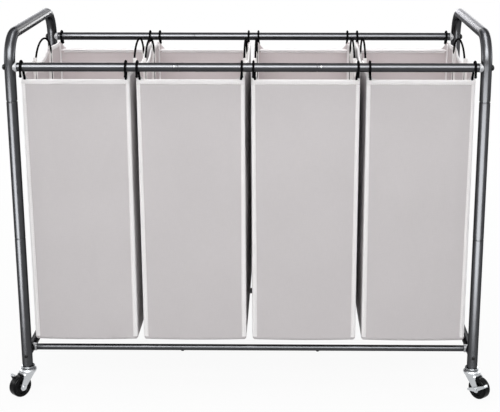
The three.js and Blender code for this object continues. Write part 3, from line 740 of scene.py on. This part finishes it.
CLOTH = 1.4  # thickness
CORNER_RADIUS = 3.5
TUCK_RADIUS = 3.0  # rounding at the foot of the walls
PANELS = ("front", "right", "back", "left")
FRONT_COUNT, SIDE_COUNT, ROW_COUNT = 26, 46, 62
TOP_FRONT = HEM_Z + 0.4
EDGE = 0.13  # share of half a panel's width where its rim rises to the corner
FRONT_TAPE, SIDE_TAPE = 0.92, 0.6  # width of a corner binding against the one that ledge describes


def side_rim(y):
    """Height of a side panel's rim: pulled up by the stiff handle's two legs and slack between them."""
    knots = ((-1.0, 11), (-0.86, 10.5), (-0.60, 13.5), (-0.40, 15.5), (-0.2, 5), (0, 0.5), (0.2, 5),
             (0.40, 16), (0.62, 14.5), (0.86, 12.5), (1.0, 14))
    u = y / BAG_HALF_Y
    for (a, p), (b, q) in zip(knots, knots[1:]):
        if u <= b:
            return RIM_Z + p + (q - p) * eased(limited((u - a) / (b - a)))
    return RIM_Z + knots[-1][1]


class Bag:
    """The cloth walls of one bag, as a grid of points that the tapes, hems and stitches lie on."""

    def __init__(self, number):
        self.number = number
        self.name = f"bag_{number}"
        self.centre = middle(self.name).x
        self.random = random.Random(40 + number)
        self.ring, self.corners = self.make_ring()
        self.folds = {panel: self.make_folds(panel) for panel in PANELS}
        self.bulge = {panel: self.random.uniform(0.8, 1.1) for panel in PANELS}
        self.levels = [0, 0.35, 0.75] + [1.3 + k for k in range(ROW_COUNT - 2)]
        self.top = self.levels[-1]
        self.rows = [[self.point(spot, level / self.top) for spot in self.ring] for level in self.levels]

    def make_ring(self):
        """Spots round the bag, each with its outward direction, panel and place along the panel from -1 to 1,
        and the number of the spot on each corner."""
        w, d, r = BAG_HALF_X, BAG_HALF_Y, CORNER_RADIUS
        plan = [Vector(corner) for corner in ((-w, -d), (w, -d), (w, d), (-w, d), (-w, -d))]
        spots, corners = [], []
        for panel, a, b in zip(PANELS, plan, plan[1:]):
            count = FRONT_COUNT if panel in ENDS else SIDE_COUNT
            along = (b - a).normalized()
            out = Vector((along.y, -along.x))
            length = (b - a).length - 2 * r
            for k in range(count + 1):
                spots.append((a + along * (r + length * k / count), out, panel, -1 + 2 * k / count))
            diagonal = (out + along).normalized()
            corners.append(len(spots))
            spots.append((b - along * r - out * r + diagonal * r, diagonal, panel, 1.0))
        return spots, corners

    def make_folds(self, panel):
        """Soft creases, each a line on the panel with a width and a height."""
        draw, sign = self.random.uniform, self.random.choice
        folds = []
        wide, count = (1.0, 2) if panel in ENDS else (1.9, 3)
        for side in (-1, 1):
            for _ in range(count):
                start = (side * draw(0.72, 0.98), draw(0.86, 1.0))
                reach = draw(0.25, 0.75)
                end = (side * draw(-0.15, 0.6), start[1] - reach)
                height = sign((-1, 1)) * draw(0.5, 1.3) * wide * 0.8
                folds.append((start, end, draw(0.035, 0.08), height))
        for _ in range(4):
            u, t = draw(-0.8, 0.8), draw(0.15, 0.9)
            lean, length = draw(-0.15, 0.15), draw(0.2, 0.5)
            height = sign((-1, 1)) * draw(0.3, 0.7) * wide
            folds.append(((u, t), (u + lean, t - length), draw(0.05, 0.12), height))
        return folds

    def fold_height(self, panel, u, t):
        half = BAG_HALF_X if panel in ENDS else BAG_HALF_Y
        total = 0.0
        for (u0, t0), (u1, t1), width, height in self.folds[panel]:
            dx, dy = (u1 - u0) * half, (t1 - t0) * BAG_TALL
            px, py = (u - u0) * half, (t - t0) * BAG_TALL
            s = (px * dx + py * dy) / (dx * dx + dy * dy)
            fade = limited(1.0 - abs(s - 0.42) / 0.62)
            if fade > 0:
                away = math.hypot(px - s * dx, py - s * dy) / (width * half * 1.3)
                total += height * eased(fade) * math.exp(-away * away)
        return total

    def offset(self, panel, u, t):
        """How far the cloth stands out from the flat panel."""
        seed = 10 * PANELS.index(panel) + 50 * self.number
        calm = min(1.0, max(0.0, 1 - abs(u) ** 6) * 3) * min(1.0, t * 9)
        folds = self.fold_height(panel, u, t)

        def soft(across, up, depth, layer):
            return wave(u * across, t * up, seed + layer) * depth

        if panel in ENDS:
            shape = soft(1.1, 1.6, 2.2, 0) + soft(3.2, 3.0, 0.7, 5) + folds
            bulge = self.bulge[panel] * (1 - u * u) * math.sin(math.pi * min(1, t * 1.05))
            return shape * calm * min(1.0, (1 - t) * 12) + bulge * calm
        shape = soft(2.0, 2.4, 1.6, 0) + soft(5.5, 4.2, 0.9, 5) + folds
        shape *= 0.3 + 0.7 * min(1.0, (1 - t) * 6)
        sag = (1 - abs(u) ** 2.4) * (0.15 + 0.85 * math.sin(math.pi * min(1.0, t * 0.96)) ** 0.8)
        return limited((shape + 5.2 * self.bulge[panel] * sag) * calm, -5.0, 5.9)

    def point(self, spot, t):
        """The outer cloth at a spot of the ring and a share t of the height."""
        here, out, panel, u = spot
        if panel in ENDS:
            peak = side_rim(math.copysign(BAG_HALF_Y, here.y)) - TOP_FRONT
            top, sag = TOP_FRONT + peak * max(0.0, 1 - (1 - abs(u)) / EDGE), 1.5
        else:
            top, sag = side_rim(here.y), 2.5
        z = BAG_Z + t * (top - BAG_Z)
        stand = self.offset(panel, u, t) if abs(u) < 1 else 0.0
        rise = min(1.0, (z - BAG_Z) / TUCK_RADIUS)
        tuck = TUCK_RADIUS * (1 - math.sqrt(max(0.0, 1 - (1 - rise) ** 2)))
        flat = here + out * (stand - tuck * 0.8)
        lean = eased(limited((z - RIM_Z + 9) / 12))
        flat.y -= math.copysign(4.6 * max(0.0, (abs(u) - 1 + EDGE) / EDGE) * lean, flat.y)
        sag *= (1 - u * u) * max(0.0, 1 - t * 12)
        return Vector((self.centre + flat.x, flat.y, z - sag))

    def walls(self):
        """Walls and floor as one sheet."""
        verts = [p for row in self.rows for p in row]
        count, steps = len(self.ring), 12
        rings = [list(range(i * count, (i + 1) * count)) for i in range(len(self.rows))]
        faces = bridged(rings)
        outer = rings[0]
        for k in range(1, steps):
            share = 1 - k / steps
            points = []
            for p in self.rows[0]:
                x, y = self.centre + (p.x - self.centre) * share, p.y * share
                drop = 3.5 * (1 - share ** 2) + 0.8 * wave(x * 0.02, y * 0.02, self.number)
                points.append(Vector((x, y, p.z - drop)))
            ring = numbered(verts, points)
            faces += bridge(ring, outer)
            outer = ring
        hub = Vector((self.centre, 0, sum(verts[i].z for i in outer) / count))
        return verts, faces + bridge(numbered(verts, [hub]) * count, outer)

    def at(self, panel, u, t):
        """Point and outward direction of the outer cloth at a place on a panel."""
        spots = [i for i, spot in enumerate(self.ring) if spot[2] == panel][:-1]
        place = (u + 1) / 2 * (len(spots) - 1)
        i = limited(int(place), 0, len(spots) - 2)
        level = limited(t) * self.top
        k = max(j for j in range(len(self.levels) - 1) if self.levels[j] <= level + 1e-9)
        over = (level - self.levels[k]) / (self.levels[k + 1] - self.levels[k])
        a, b = self.rows[k][spots[i]], self.rows[k][spots[i + 1]]
        c, d = self.rows[k + 1][spots[i]], self.rows[k + 1][spots[i + 1]]
        here = a.lerp(b, place - i).lerp(c.lerp(d, place - i), over)
        return here, (b - a + d - c).cross(c - a + d - b).normalized()

    def on_side(self, side, places, lift=0.0, turn=1):
        """Points and outward directions on a side panel, at distances from its middle and below its rim;
        turn -1 turns the directions inwards."""
        line = [self.at(side, along / BAG_HALF_Y, 1 - drop / BAG_TALL) for along, drop in places]
        return [(here + normal * lift, normal * turn) for here, normal in line]

    def seam(self, corner, k):
        """The point on a corner at row k, and for the panels before and after it the nearest point, the way
        along the panel and the outward direction."""
        row, i = self.rows[k], self.corners[corner]
        here, panels = row[i], []
        outwards = here - Vector((self.centre, 0, here.z))
        for step in (-1, 1):
            near, far = row[(i + step) % len(row)], row[(i + 2 * step) % len(row)]
            along = (far - near).normalized()
            out = along.cross(Vector((0, 0, 1))).normalized()
            panels.append((near, along, -out if out.dot(outwards) < 0 else out))
        return here, panels

    def sew(self, label, part, finish, sharp=50):
        """Makes a piece that belongs to the bag."""
        build(f"{self.name}_{label}", part, finish, self.name, (), sharp, uv=True)


def faces_end(normal):
    """True on the front and back panels."""
    return abs(normal.y) > abs(normal.x)


def shell_piece(bag):
    obj = build(f"{bag.name}_cloth", bag.walls(), CANVAS, bag.name, [bag.name], 60)
    modified(obj, "SOLIDIFY", thickness=CLOTH * MM, offset=-1)
    cloth_map(obj.data)
    smooth(obj, 60)


def hem_piece(bag, end, y):
    """The hem: white tape turned round the wire and sewn to both faces of the wall."""
    sections = []
    half, count = BAG_HALF_X - 0.4, 60
    for k in range(count + 1):
        x = -half + 2 * half * k / count
        pinch = 1 - 0.5 * max(0, abs(x) / half - 0.965) / 0.035
        low = RIM_Z - 8.9 + wave(x * 0.05, y * 7, bag.number + 9) * 0.5
        radius = HEM_RADIUS + wave(x * 0.11, y * 3, bag.number) * 0.14
        section = [(2.0, low), (2.5, low + 0.4), (2.6, low + 2.2), (2.9, low + 4.0)]
        section += [(radius * c, HEM_Z + radius * s * pinch) for c, s in arc(-10, 190, 8)]
        section += [(-1.9, low + 4.0), (-1.5, low + 2.2), (-1.4, low + 0.4), (-1.0, low)]
        sections.append([Vector((bag.centre + x, y * (HEM_Y + out), z)) for out, z in section])
    bag.sew(f"hem_{end}", loft(sections), TAPE)


def corner_tape(bag, index, label):
    """Binding folded over a corner seam: broad on the face, narrow on the side, with a fold at the corner."""
    ledge = ((5.2, -0.25), (5.0, 0.55), (4.7, 0.85), (3.4, 0.7), (2.3, 0.75), (1.9, 1.15), (0.2, 1.25))
    sunk, fold = 0.3, 1.1
    sections = []
    for k in range(2, len(bag.rows)):
        corner, panels = bag.seam(index, k)
        drift = wave(k * 0.35, index * 5, bag.number) * 0.25
        halves = []
        for base, along, normal in panels:
            wide, thick = (FRONT_TAPE, 1.0) if faces_end(normal) else (SIDE_TAPE, 0.45)
            feet = [(base + along * (reach * wide + drift), high) for reach, high in ledge]
            halves.append([(foot + normal * high * thick, foot - normal * sunk) for foot, high in feet])
        diagonal = (panels[0][2] + panels[1][2]).normalized()
        crease = [(corner + diagonal * fold, corner - diagonal * sunk)]
        outer, inner = zip(*halves[0], *crease, *halves[1][::-1])
        sections.append([*outer, *inner[-2:0:-1]])
    bag.sew(f"corner_tape_{label}", loft(sections), TAPE)


def inner_seam(bag, index, label):
    """The bound seam that shows as a light cord down an inside corner."""
    points = []
    for k in range(4, len(bag.rows)):
        corner, ((_, back, _), (_, on, _)) = bag.seam(index, k)
        points.append(corner + (back + on).normalized() * (CORNER_RADIUS + 1.0))
    bag.sew(f"inner_seam_{label}", swept(points, 1.9, 10, 1.2), TAPE)


def rim_tape(bag, side):
    """Binding folded over the rim of a side panel."""
    sections = []
    count = 72
    for k in range(count + 1):
        u = -0.992 + 1.984 * k / count
        rim, normal = bag.at(side, u, 1.0)
        down = (bag.at(side, u, 1 - 7.5 / BAG_TALL)[0] - rim).normalized()
        thick = 0.8 + 0.12 * wave(u * 20, 0, bag.number)
        radius, inner = CLOTH / 2 + thick, -CLOTH - thick
        section = [(-0.2, 7.2), (thick, 6.9), (thick, 4.5), (thick, 1.0)]
        section += [(-CLOTH / 2 + radius * c, -0.2 - radius * s) for c, s in arc(0, 180, 4)]
        section += [(inner, 1.0), (inner, 4.5), (inner, 6.9), (-CLOTH + 0.2, 7.2)]
        sections.append([rim + normal * out + down * drop for out, drop in section])
    bag.sew(f"rim_tape_{side}", loft(sections), TAPE)


def sleeve(bag, side, x, end, y):
    """Webbing sewn up the inside of a side panel round one leg of the carrying handle."""
    low, high, count = RIM_Z - 56, RIM_Z + 21, 26
    half_width, closing = 2.1, 5.0  # closing is the height over which the top end narrows
    around = GRIP_RADIUS + 0.6  # from the axis of the leg to the webbing's faces
    along = y * GRIP_HALF_SPAN
    rim = side_rim(along)
    sections = []
    for k in range(count + 1):
        z = low + (high - low) * k / count
        wall, _ = bag.at(side, along * x / BAG_HALF_Y, min(1.0, (z - BAG_Z) / (rim - BAG_Z)))
        base = x * (wall.x - bag.centre) - CLOTH + 0.25
        back = base if z < rim else max(base, GRIP_OFFSET + around)
        face, leg_face = base - 1.1, GRIP_OFFSET - around
        over = max(0.0, (z - (high - closing)) / closing)
        half = half_width * math.sqrt(max(0.05, 1 - (over * 0.6) ** 2))
        inner, outer = [], []
        for j in range(13):
            v = (-1 + j / 6) * half
            bump = math.sqrt(max(0.0, 1 - (v / (half_width + 0.2)) ** 2)) ** 0.8
            inner.append((face + (leg_face - face) * bump, v))
            outer.append((back, v))
        ring = inner + outer[::-1]
        sections.append([Vector((bag.centre + x * out, along + v, z)) for out, v in ring])
    bag.sew(f"sleeve_{side}_{end}", loft(sections), WEBBING)


STITCH, STITCH_GAP, STITCH_LIFT, STITCH_SUNK = 2.6, 1.5, 0.12, 0.3
STITCH_FACES = bridged([[0] * 4, [1, 2, 3, 4], [5, 6, 7, 8], [9] * 4])
THREAD_RADIUS = 0.28
TAPE_STITCH = 3.7  # from the corner to the row of stitches in its binding, scaled as the binding is


def stitched(line):
    """Stitches along a line of points and outward directions: each comes out of the cloth, runs along it
    and goes back in."""
    stitches = []
    travelled, due = 0.0, 0.5
    for (a, normal), (b, _) in zip(line, line[1:]):
        span = (b - a).length
        along = (b - a) / span
        side = along.cross(normal).normalized()
        ring = [(side * c + normal * s) * THREAD_RADIUS for c, s in circle(4)]
        while due + STITCH < travelled + span + STITCH * 0.5:
            start = a + along * (due - travelled) + normal * STITCH_LIFT
            verts = [start - normal * STITCH_SUNK]
            for share in (0.18, 0.82):
                verts += [start + along * STITCH * share + reach for reach in ring]
            stitches.append((verts + [start + along * STITCH - normal * STITCH_SUNK], STITCH_FACES))
            due += STITCH + STITCH_GAP
        travelled += span
    return stitches


def stitch_lines(bag):
    """Every visible seam of a bag, as points and outward directions."""
    for index in range(len(PANELS)):
        for which in (0, 1):
            line = []
            for k in range(3, len(bag.rows)):
                base, along, normal = bag.seam(index, k)[1][which]
                wide, lift = (FRONT_TAPE, 0.72) if faces_end(normal) else (SIDE_TAPE, 0.32)
                line.append((base + along * TAPE_STITCH * wide + normal * lift, normal))
            yield line
    half, face, back = BAG_HALF_X - 6, HEM_Y + 2.55, HEM_Y - 1.45
    for y in ENDS.values():
        for out, turn in ((face, 1), (back, -1)):
            xs = [bag.centre - half + 2 * half * k / 20 for k in range(21)]
            yield [(Vector((x, y * out, RIM_Z - 7.5)), Vector((0, y * turn, 0))) for x in xs]
    span, half_width = 0.96 * BAG_HALF_Y, 3.4
    rim = [(span * (-1 + k / 50), 5.3) for k in range(101)]
    box = [[(across, 10 + 50 * k / 14) for k in range(15)] for across in (-half_width, half_width)]
    box += [[(half_width * (-1 + k / 2), drop) for k in range(5)] for drop in (12, 60)]
    for side, x in SIDES.items():
        yield bag.on_side(side, rim, 0.8)
        yield bag.on_side(side, rim, -CLOTH - 0.8, -1)
        for y in ENDS.values():
            for row in box:
                yield bag.on_side(side, [(x * y * GRIP_HALF_SPAN + across, drop) for across, drop in row])


def wire_points(y):
    """A hem wire: hook, riser, straight hem stretch, riser, hook."""
    inset, lean, drop, clearance = 6.5, 2.5, 15, 0.65
    low_x = BAG_HALF_X - inset
    hook_x = low_x + lean
    hook = RAIL_RADIUS + clearance + WIRE_RADIUS
    left = [Vector((-hook_x, -LEG_Y - hook, RAIL_Z - drop))]
    left += [Vector((-hook_x, -LEG_Y + hook * c, RAIL_Z + hook * s)) for c, s in arc(180, 0, 20)]
    right = [Vector((-p.x, p.y, p.z)) for p in reversed(left)]
    corners = [left[-1], Vector((-low_x, -HEM_Y, HEM_Z)), Vector((low_x, -HEM_Y, HEM_Z)), right[0]]
    points = left[:-1] + bent(corners, 4.5, 8) + right[1:]
    return [half_turn(-y) @ p for p in points]


def wire_tip(tip):
    """The ball on the end of a hook."""
    return turned([(TIP_RADIUS * c, TIP_RADIUS * s) for c, s in arc(-90, 90, 10)], 16, shift(*tip))


def handle_points():
    """A stiff arch, from the foot of one leg to the foot of the other."""
    spring, foot, rise = RIM_Z + 6, RIM_Z - 48, 40
    leg = [Vector((0, -GRIP_HALF_SPAN, z)) for z in (foot, foot + 20, spring - 8)]
    arch = [Vector((0, GRIP_HALF_SPAN * c, spring + rise * s)) for c, s in arc(180, 0, 32)]
    return leg + arch + [Vector((0, -p.y, p.z)) for p in reversed(leg)]


for number in range(1, 5):
    bag = Bag(number)
    at_bag = shift(bag.centre)
    shell_piece(bag)
    for end, y in ENDS.items():
        hem_piece(bag, end, y)
        points = wire_points(y)
        wire = together(swept(points, WIRE_RADIUS, 12, 1.2), wire_tip(points[0]), wire_tip(points[-1]))
        node = f"{bag.name}_hem_wire_{end}"
        build(f"{bag.name}_wire_{end}", moved(wire, at_bag), BLACK_WIRE, bag.name, [node], 50)
    for side, x in SIDES.items():
        rim_tape(bag, side)
        grip = moved(swept(handle_points(), GRIP_RADIUS, 14, 1.6), shift(bag.centre + x * GRIP_OFFSET))
        build(f"{bag.name}_grip_{side}", grip, BLACK_GRIP, bag.name, [f"{bag.name}_handle_{side}"], 50)
        for end, y in ENDS.items():
            sleeve(bag, side, x, end, y)
    for index, label in enumerate(("front_right", "back_right", "back_left", "front_left")):
        corner_tape(bag, index, label)
        inner_seam(bag, index, label)
    thread = [part for line in stitch_lines(bag) for part in stitched(line)]
    bag.sew("stitching", together(*thread), THREAD, 80)


# Floor, light and camera

def seen_directly(tree):
    """1 for what the camera sees, straight or mirrored, and 0 for the light that a surface gives."""
    path = add(tree, "LightPath").outputs
    seen = maths(tree, "MAXIMUM", path["Is Camera Ray"], path["Is Glossy Ray"])
    return maths(tree, "MAXIMUM", seen, path["Is Transmission Ray"])


def emptied(block):
    """The node tree of a material or a world, with nothing in it."""
    block.use_nodes = True
    block.node_tree.nodes.clear()
    return block.node_tree


def stage_floor():
    """A wide floor, drawn white for the camera and lit as a grey one."""
    sides = 64
    verts, rings = [Vector()], [[0] * sides]
    for radius in (1, 2, 4, 8, 16, 60):
        rings.append(numbered(verts, [Vector((radius * c, radius * s, 0)) for c, s in circle(sides)]))
    mesh = bpy.data.meshes.new("floor")
    mesh.from_pydata(verts, [], [face[::-1] for face in bridged(rings)])
    obj = placed("floor", mesh)
    material = bpy.data.materials.new("floor")
    tree = emptied(material)
    place = add(tree, "TexCoord").outputs["Object"]
    distance = add(tree, "VectorMath", {0: place}, operation="LENGTH").outputs["Value"]
    cover = maths(tree, "MULTIPLY", seen_directly(tree), spread(tree, distance, 0.7, 2.0, 0.94, 1.0))
    speckle = swing(tree, grain(tree, place, 120, 2), 0, 1)
    colour = mixed(tree, speckle, (0.62, 0.62, 0.62, 1), (0.65, 0.65, 0.65, 1))
    plain = add(tree, "BsdfDiffuse", {"Color": colour})
    white = add(tree, "Emission", {"Color": (1, 1, 1, 1), "Strength": 1.0})
    blend = add(tree, "MixShader", {0: cover, 1: plain.outputs[0], 2: white.outputs[0]})
    add(tree, "OutputMaterial", {"Surface": blend.outputs[0]})
    mesh.materials.append(material)
    obj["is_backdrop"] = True


def stage_world(fill):
    """A white studio that gives only so much light of its own."""
    world = bpy.data.worlds.new("studio")
    bpy.context.scene.world = world
    tree = emptied(world)
    strength = spread(tree, seen_directly(tree), 0.0, 1.0, fill, 1.0)
    background = add(tree, "Background", {"Color": (1, 1, 1, 1), "Strength": strength})
    add(tree, "OutputWorld", {"Surface": background.outputs[0]})


def softbox(name, place, aim, width, height, power, diffuse=True, gloss=True, only=()):
    """A lamp of so many watts that lights matt surfaces, shows in glossy ones, or both; only names the pieces
    that it lights."""
    data = bpy.data.lights.new(name, "AREA")
    data.shape, data.size, data.size_y, data.energy = "RECTANGLE", width, height, power
    obj = placed(name, data)
    obj.location = place
    obj.rotation_euler = (Vector(aim) - Vector(place)).to_track_quat("-Z", "Y").to_euler()
    obj.visible_camera = False
    obj.visible_diffuse, obj.visible_glossy = diffuse, gloss
    if only:
        lit = bpy.data.collections.new(f"lit_by_{name}")
        for piece in only:
            lit.objects.link(piece)
        obj.light_linking.receiver_collection = lit
    return obj


def shine(name, place, aim, width, height, power, only=()):
    """A lamp that only shows in gloss."""
    return softbox(name, place, aim, width, height, power, diffuse=False, only=only)


def floor_card(side, heading, near, far, width, power):
    """A low lamp that lies on the floor in front of a leg and only shows in its gloss."""
    heading = math.radians(heading)
    way = Vector((math.sin(heading), -math.cos(heading), 0))
    centre = Vector((SIDES[side] * LEG_X, -LEG_Y, 0)) * MM + way * (near + far) / 2
    place = centre + Vector((0, 0, 0.004))
    aim = centre + Vector((0, 0, 1))
    card = shine(f"{side}_floor_shine", place, aim, width, far - near, power, uprights[side])
    card.rotation_euler = (math.pi, 0, heading)


stage_floor()
stage_world(0.18)
softbox("key", (-0.1, -2.3, 2.0), (0, -0.1, 0.5), 2.6, 1.2, 52)
softbox("top", (0, -0.4, 2.6), (0, 0, 0.5), 1.8, 1.0, 23, gloss=False)
softbox("back", (0.1, 2.3, 2.0), (0, 0.1, 0.5), 2.6, 1.2, 42, gloss=False)
for side, x in SIDES.items():
    softbox(side, (x * 2.2, 0.2, 1.3), (0, 0, 0.4), 1.2, 1.2, 16, gloss=False)
shine("key_shine", (-0.1, -2.54, 2.34), (0, -0.19, 0.63), 3.4, 2.0, 200)
shine("rail_shine", (-0.9, -2.54, 2.34), (-0.8, -0.19, 0.63), 2.0, 2.0, 100, rails)
shine("low_rail_shine", (-0.1, -2.54, 2.34), (0, -0.19, 0.63), 3.4, 2.0, 200, low_rails)
floor_card("left", -25, 0.30, 1.0, 0.26, 2.6)
floor_card("right", -10, 0.30, 1.0, 0.40, 3.7)
UPRIGHT_LAMPS = (
    ("left", "leg", (-0.65, -0.68, 0.25), (-0.425, -0.19, 0.25), 0.5, 0.5, 10.8),
    ("right", "leg", (0.34, -0.68, 0.27), (0.425, -0.19, 0.27), 0.8, 0.54, 15.5),
    ("left", "handle", (0.11, 2.1, 0.62), (-0.425, 0, 0.69), 0.25, 0.35, 8.6),
    ("right", "handle", (0.15, 2.1, 0.92), (0.425, 0, 0.69), 0.45, 0.5, 6.5),
    ("left", "rise", (0.11, 1.75, 1.75), (0.11, 0, 0.69), 0.35, 1.5, 16),
    ("right", "rise", (0.15, 1.75, 1.75), (0.15, 0, 0.69), 0.5, 1.5, 22),
    ("left", "arch", (0.0, -0.35, 2.3), (0.0, 0, 0.69), 0.6, 2.6, 56),
    ("right", "arch", (0.27, -0.35, 2.3), (0.27, 0, 0.69), 0.9, 2.6, 95))
for side, part, *lamp in UPRIGHT_LAMPS:
    shine(f"{side}_{part}_shine", *lamp, uprights[side])
shine("back_wash", (0, 2.1, 0.95), (0, -0.2, 0.65), 4.4, 0.7, 36)
for side, x in SIDES.items():
    shine(f"{side}_wash", (x * 2.2, 0.9, 0.8), (0, 0.9, 0.8), 2.4, 0.5, 26)

camera_data = bpy.data.cameras.new("camera")
camera = placed("camera", camera_data)
camera.location = (0.0679, -2.190, 0.9822)
camera.rotation_euler = (math.radians(90 - 14.84), 0, math.radians(0.60))
camera_data.sensor_width, camera_data.lens = 36, 81.7
camera_data.shift_x, camera_data.shift_y = -0.048, -0.08
bpy.context.scene.camera = camera
bpy.context.scene.view_settings.view_transform = "Standard"

low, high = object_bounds()
sizes = {"cad": [list(cad_low), list(cad_high)], "visual": [list(low), list(high)]}
